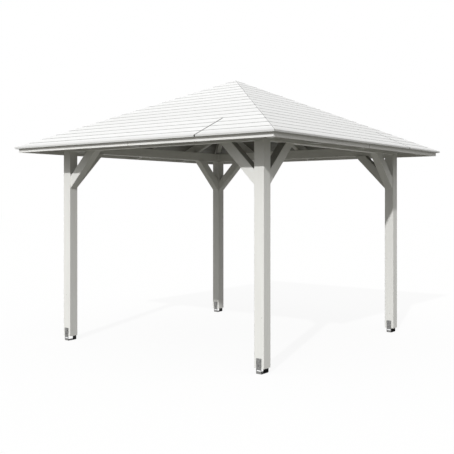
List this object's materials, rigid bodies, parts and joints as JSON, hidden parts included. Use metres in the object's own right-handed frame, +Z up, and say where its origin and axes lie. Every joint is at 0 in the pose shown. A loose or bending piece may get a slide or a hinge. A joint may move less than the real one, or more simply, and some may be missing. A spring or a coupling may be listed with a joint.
{
  "type": "garden gazebo",
  "caption": "Open square timber gazebo: corner posts on steel anchors, ring beams with diagonal braces and a low boarded pyramid roof with fascias.",
  "frame": {"origin": "middle of the square plan, on the ground under the anchors' base plates", "axes": "+Z up along the apex; the front side looks to -Y and the right side to +X"},
  "size_m": [3.89, 3.89, 3.2765],
  "materials": {
    "frame_paint": "white opaque wood paint on planed glued timber",
    "rafter_paint": "white opaque wood paint on planed timber",
    "roof_boards": "white painted tongue and groove boards laid level",
    "fascia_paint": "white opaque wood paint on planed boards",
    "galvanised_steel": "dull hot-dip galvanised flat steel"
  },
  "bodies": {
    "root": {"apex_block": "rafter_paint", "back_beam": "frame_paint", "back_brace_left": "frame_paint", "back_brace_right": "frame_paint", "back_fascia": "fascia_paint", "back_jack_rafters": "rafter_paint", "back_left_anchor": "galvanised_steel", "back_left_hip_rafter": "rafter_paint", "back_left_post": "frame_paint", "back_middle_rafter": "rafter_paint", "back_right_anchor": "galvanised_steel", "back_right_hip_rafter": "rafter_paint", "back_right_post": "frame_paint", "back_roof_deck": "roof_boards", "front_beam": "frame_paint", "front_brace_left": "frame_paint", "front_brace_right": "frame_paint", "front_fascia": "fascia_paint", "front_jack_rafters": "rafter_paint", "front_left_anchor": "galvanised_steel", "front_left_hip_rafter": "rafter_paint", "front_left_post": "frame_paint", "front_middle_rafter": "rafter_paint", "front_right_anchor": "galvanised_steel", "front_right_hip_rafter": "rafter_paint", "front_right_post": "frame_paint", "front_roof_deck": "roof_boards", "left_beam": "frame_paint", "left_brace_back": "frame_paint", "left_brace_front": "frame_paint", "left_fascia": "fascia_paint", "left_jack_rafters": "rafter_paint", "left_middle_rafter": "rafter_paint", "left_roof_deck": "roof_boards", "right_beam": "frame_paint", "right_brace_back": "frame_paint", "right_brace_front": "frame_paint", "right_fascia": "fascia_paint", "right_jack_rafters": "rafter_paint", "right_middle_rafter": "rafter_paint", "right_roof_deck": "roof_boards"}
  },
  "joints": []
}
